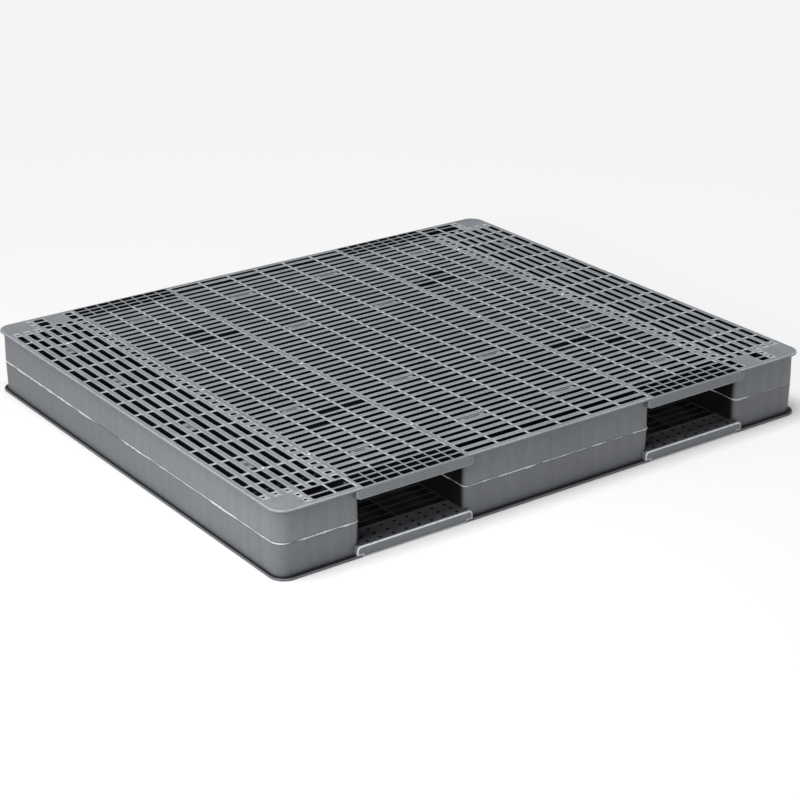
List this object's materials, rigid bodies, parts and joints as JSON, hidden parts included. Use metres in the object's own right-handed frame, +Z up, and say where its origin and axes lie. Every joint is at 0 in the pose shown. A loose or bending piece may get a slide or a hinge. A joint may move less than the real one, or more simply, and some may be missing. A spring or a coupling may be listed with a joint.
{
  "type": "plastic pallet",
  "caption": "Two-way double-faced slotted plastic pallet made of two welded ribbed mouldings, with two fork tunnels, flush entry beams and a load deck on both faces",
  "frame": {"origin": "centre of the footprint, on the floor under the lower deck", "axes": "+X along the 1400 mm side, +Y along the fork tunnels (1200 mm), +Z up"},
  "size_m": [1.4, 1.2, 0.15],
  "materials": {
    "polypropylene": "moulded, satin, fine grain, slightly lighter on worn edges",
    "weld_flash": "uneven bead of remelted plastic, paler and glossier than the walls"
  },
  "bodies": {
    "root": {"centre_weld_bead": "weld_flash", "left_weld_bead": "weld_flash", "lower_centre_block": "polypropylene", "lower_deck_plate": "polypropylene", "lower_front_left_entry_beam": "polypropylene", "lower_front_right_entry_beam": "polypropylene", "lower_left_block": "polypropylene", "lower_rear_left_entry_beam": "polypropylene", "lower_rear_right_entry_beam": "polypropylene", "lower_right_block": "polypropylene", "lower_web_grid": "polypropylene", "right_weld_bead": "weld_flash", "upper_centre_block": "polypropylene", "upper_deck_plate": "polypropylene", "upper_front_left_entry_beam": "polypropylene", "upper_front_right_entry_beam": "polypropylene", "upper_left_block": "polypropylene", "upper_rear_left_entry_beam": "polypropylene", "upper_rear_right_entry_beam": "polypropylene", "upper_right_block": "polypropylene", "upper_web_grid": "polypropylene"}
  },
  "joints": []
}
